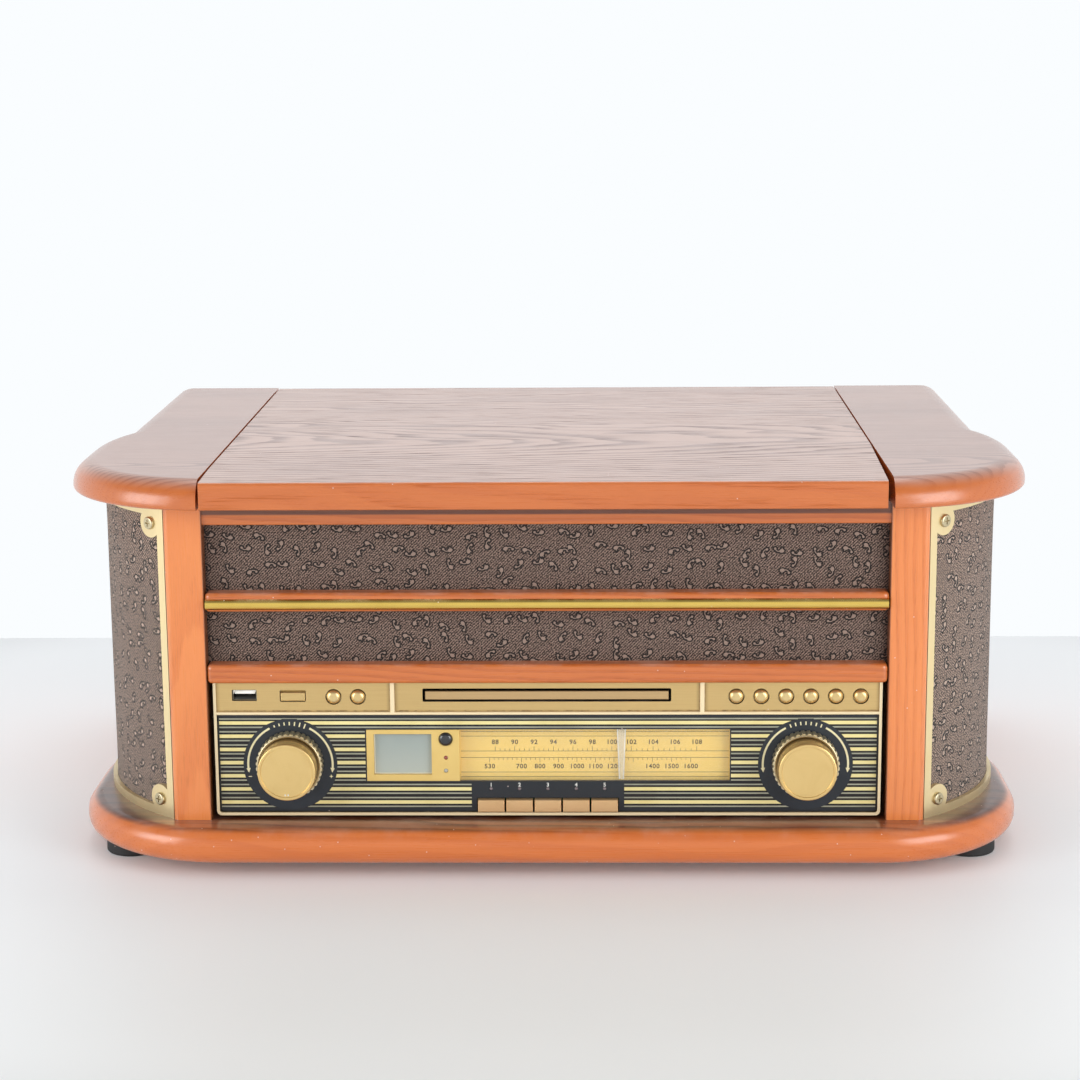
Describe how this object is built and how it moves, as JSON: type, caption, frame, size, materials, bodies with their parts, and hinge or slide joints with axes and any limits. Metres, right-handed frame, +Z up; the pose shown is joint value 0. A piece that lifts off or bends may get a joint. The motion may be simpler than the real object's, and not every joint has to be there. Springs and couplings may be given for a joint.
{
  "type": "stereo music centre",
  "caption": "Wooden tabletop music centre with a record player under a hinged lid, a CD tray, a radio dial with knobs and keys, and speakers behind cloth in the rounded corners.",
  "frame": {"origin": "on the floor, under the middle of the outer box", "axes": "+X to the right of someone facing the front, +Y to the back, +Z up"},
  "size_m": [0.523, 0.3468, 0.218],
  "materials": {
    "lacquered_wood": "satin",
    "raw_board": "matte",
    "rubber": "matte",
    "brass": "satin",
    "bright_steel": "satin",
    "arm_metal": "satin",
    "speaker_cloth": "matte",
    "paper_cone": "matte",
    "gold_plastic": "satin",
    "rose_gold_plastic": "satin",
    "dial_yellow": "satin",
    "black_plastic": "satin",
    "lcd_glass": "gloss",
    "clear_plastic": "gloss",
    "circuit_board": "satin"
  },
  "bodies": {
    "cabinet": {"base_board": "lacquered_wood", "rubber_feet": "rubber", "side_panels": "lacquered_wood", "inner_walls": "raw_board", "rear_panel": "raw_board", "side_top_boards": "lacquered_wood", "front_posts": "lacquered_wood", "top_front_rail": "lacquered_wood", "middle_rail": "lacquered_wood", "lower_rail": "lacquered_wood", "brass_inlay": "brass", "cloth_panel": "speaker_cloth", "grille_cloths": "speaker_cloth", "grille_frames": "brass", "cabinet_screws": "brass", "speaker_baffles": "raw_board", "speakers": "paper_cone", "front_bezel": "gold_plastic", "dial_fascia": "black_plastic", "display_plate": "dial_yellow", "lcd_module": "lcd_glass", "scale_plate": "dial_yellow", "scale_window": "clear_plastic", "indicator_lamps": "black_plastic", "usb_socket": "bright_steel", "circuit_boards": "circuit_board", "power_transformer": "bright_steel", "cd_mechanism": "black_plastic", "turntable_deck": "black_plastic", "drive_motor": "bright_steel", "drive_belt": "rubber", "tonearm_base": "black_plastic", "rear_sockets": "black_plastic", "hinge_fixed_leaves": "brass"},
    "lid": {"lid": "lacquered_wood", "hinge_lid_leaves": "brass"},
    "volume_knob": {"volume_knob": "gold_plastic"},
    "tuning_knob": {"tuning_knob": "gold_plastic"},
    "dial_needle": {"dial_needle": "clear_plastic"},
    "cd_tray": {"cd_tray": "black_plastic"},
    "platter": {"platter": "arm_metal", "platter_mat": "rubber"},
    "motor_pulley": {"motor_pulley": "bright_steel"},
    "tonearm_yoke": {"tonearm_yoke": "black_plastic"},
    "tonearm": {"tonearm": "arm_metal"},
    "speed_switch": {"speed_switch": "black_plastic"},
    "power_key": {"power_key": "gold_plastic"},
    "round_button_1": {"round_button_1": "gold_plastic"},
    "round_button_2": {"round_button_2": "gold_plastic"},
    "round_button_3": {"round_button_3": "gold_plastic"},
    "round_button_4": {"round_button_4": "gold_plastic"},
    "round_button_5": {"round_button_5": "gold_plastic"},
    "round_button_6": {"round_button_6": "gold_plastic"},
    "round_button_7": {"round_button_7": "gold_plastic"},
    "round_button_8": {"round_button_8": "gold_plastic"},
    "mode_key_1": {"mode_key_1": "rose_gold_plastic"},
    "mode_key_2": {"mode_key_2": "rose_gold_plastic"},
    "mode_key_3": {"mode_key_3": "rose_gold_plastic"},
    "mode_key_4": {"mode_key_4": "rose_gold_plastic"},
    "mode_key_5": {"mode_key_5": "rose_gold_plastic"}
  },
  "joints": [
    {"name": "lid_swing", "type": "hinge", "parent": "cabinet", "child": "lid", "pos_m": [0, 0.1711, 0.20265], "axis": [-1, 0, 0], "range_deg": [0, 80]},
    {"name": "volume_turn", "type": "hinge", "parent": "cabinet", "child": "volume_knob", "pos_m": [-0.1393, -0.1466, 0.0584], "axis": [0, 1, 0], "range_deg": [-150, 150]},
    {"name": "tuning_turn", "type": "hinge", "parent": "cabinet", "child": "tuning_knob", "pos_m": [0.1393, -0.1466, 0.0584], "axis": [0, 1, 0], "range_deg": [-680, 400]},
    {"name": "needle_slide", "type": "slide", "parent": "cabinet", "child": "dial_needle", "axis": [1, 0, 0], "range_m": [-0.06832, 0.04019]},
    {"name": "tray_slide", "type": "slide", "parent": "cabinet", "child": "cd_tray", "axis": [0, -1, 0], "range_m": [0, 0.125]},
    {"name": "platter_spin", "type": "hinge", "parent": "cabinet", "child": "platter", "pos_m": [-0.022, 0.0117, 0.167], "axis": [0, 0, 1], "continuous": true},
    {"name": "pulley_spin", "type": "hinge", "parent": "cabinet", "child": "motor_pulley", "pos_m": [-0.08753, -0.03419, 0.1575], "axis": [0, 0, 1], "continuous": true},
    {"name": "arm_swing", "type": "hinge", "parent": "cabinet", "child": "tonearm_yoke", "pos_m": [0.142, 0.1167, 0.184], "axis": [0, 0, -1], "range_deg": [0, 40.5]},
    {"name": "arm_lift", "type": "hinge", "parent": "tonearm_yoke", "child": "tonearm", "pos_m": [0.142, 0.1167, 0.184], "axis": [-1, 0, 0], "range_deg": [0, 2.4]},
    {"name": "speed_select", "type": "slide", "parent": "cabinet", "child": "speed_switch", "axis": [1, 0, 0], "range_m": [-0.005, 0.005]},
    {"name": "round_button_1_press", "type": "slide", "parent": "cabinet", "child": "round_button_1", "axis": [0, 1, 0], "range_m": [0, 0.0015], "stiffness_N_per_m": 400},
    {"name": "round_button_2_press", "type": "slide", "parent": "cabinet", "child": "round_button_2", "axis": [0, 1, 0], "range_m": [0, 0.0015], "stiffness_N_per_m": 400},
    {"name": "round_button_3_press", "type": "slide", "parent": "cabinet", "child": "round_button_3", "axis": [0, 1, 0], "range_m": [0, 0.0015], "stiffness_N_per_m": 400},
    {"name": "round_button_4_press", "type": "slide", "parent": "cabinet", "child": "round_button_4", "axis": [0, 1, 0], "range_m": [0, 0.0015], "stiffness_N_per_m": 400},
    {"name": "round_button_5_press", "type": "slide", "parent": "cabinet", "child": "round_button_5", "axis": [0, 1, 0], "range_m": [0, 0.0015], "stiffness_N_per_m": 400},
    {"name": "round_button_6_press", "type": "slide", "parent": "cabinet", "child": "round_button_6", "axis": [0, 1, 0], "range_m": [0, 0.0015], "stiffness_N_per_m": 400},
    {"name": "round_button_7_press", "type": "slide", "parent": "cabinet", "child": "round_button_7", "axis": [0, 1, 0], "range_m": [0, 0.0015], "stiffness_N_per_m": 400},
    {"name": "round_button_8_press", "type": "slide", "parent": "cabinet", "child": "round_button_8", "axis": [0, 1, 0], "range_m": [0, 0.0015], "stiffness_N_per_m": 400},
    {"name": "mode_key_1_press", "type": "slide", "parent": "cabinet", "child": "mode_key_1", "axis": [0, 1, 0], "range_m": [0, 0.0025], "stiffness_N_per_m": 300},
    {"name": "mode_key_2_press", "type": "slide", "parent": "cabinet", "child": "mode_key_2", "axis": [0, 1, 0], "range_m": [0, 0.0025], "stiffness_N_per_m": 300},
    {"name": "mode_key_3_press", "type": "slide", "parent": "cabinet", "child": "mode_key_3", "axis": [0, 1, 0], "range_m": [0, 0.0025], "stiffness_N_per_m": 300},
    {"name": "mode_key_4_press", "type": "slide", "parent": "cabinet", "child": "mode_key_4", "axis": [0, 1, 0], "range_m": [0, 0.0025], "stiffness_N_per_m": 300},
    {"name": "mode_key_5_press", "type": "slide", "parent": "cabinet", "child": "mode_key_5", "axis": [0, 1, 0], "range_m": [0, 0.0025], "stiffness_N_per_m": 300},
    {"name": "power_key_press", "type": "slide", "parent": "cabinet", "child": "power_key", "axis": [0, 1, 0], "range_m": [0, 0.0015], "stiffness_N_per_m": 400}
  ],
  "couplings": [
    {"joint": "needle_slide", "follows": "tuning_turn", "m_per_rad": 0.005756},
    {"joint": "pulley_spin", "follows": "platter_spin", "ratio": 15}
  ]
}
